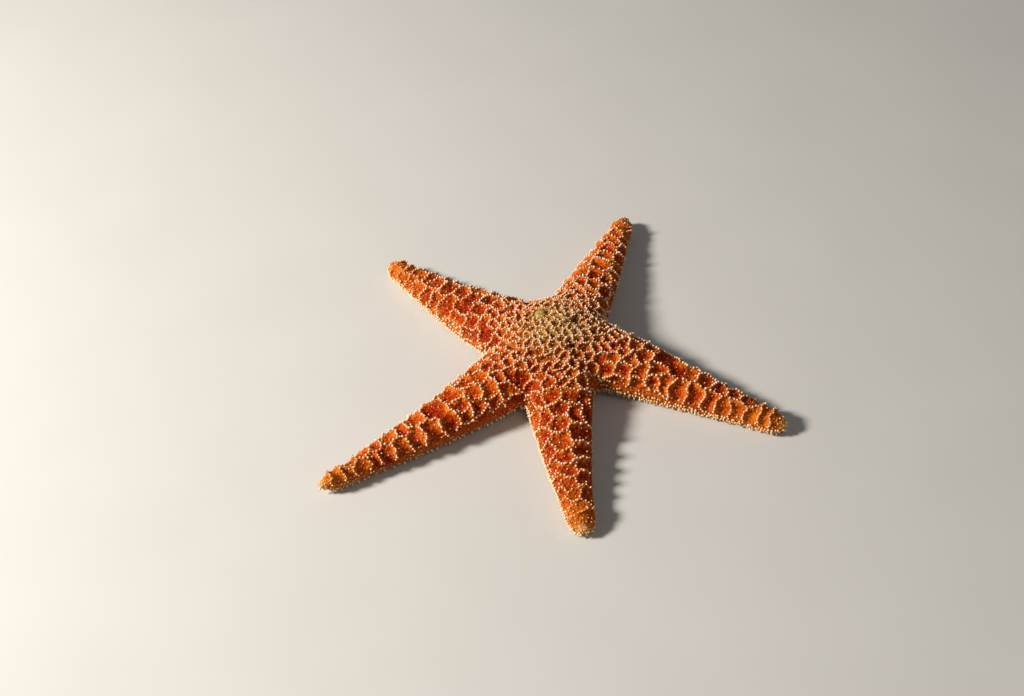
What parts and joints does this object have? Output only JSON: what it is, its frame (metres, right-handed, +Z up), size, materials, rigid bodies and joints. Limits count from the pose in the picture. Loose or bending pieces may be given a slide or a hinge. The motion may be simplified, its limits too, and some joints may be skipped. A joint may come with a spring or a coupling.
{
  "type": "starfish",
  "caption": "Still, life-size ochre sea star lying flat with its arms spread: ridged disc and arms, tip plates, sieve plate, and a jawed mouth and arm grooves beneath.",
  "frame": {"origin": "on the floor, under the middle of the whole star's box, about two millimetres from under the disc's middle", "axes": "+Z up from the floor, the mouth side down; +X along the star's longest stretch, with arm_5 to the right and arm_3 to the left; arm_4 points nearly along -Y"},
  "size_m": [0.1877, 0.1809, 0.0251],
  "materials": {
    "disc_skin": "damp, netted with pale spines, olive tan",
    "arm_skin": "damp, netted with pale spines, orange",
    "pale_plate": "limy, cream to pale yellow",
    "sieve_plate": "furrowed, pale yellow-green"
  },
  "bodies": {
    "root": {"disc": "disc_skin", "madreporite": "sieve_plate", "mouth_frame": "pale_plate", "arm_1": "arm_skin", "arm_2": "arm_skin", "arm_3": "arm_skin", "arm_4": "arm_skin", "arm_5": "arm_skin", "arm_1_tip": "pale_plate", "arm_2_tip": "pale_plate", "arm_3_tip": "pale_plate", "arm_4_tip": "pale_plate", "arm_5_tip": "pale_plate"}
  },
  "joints": []
}
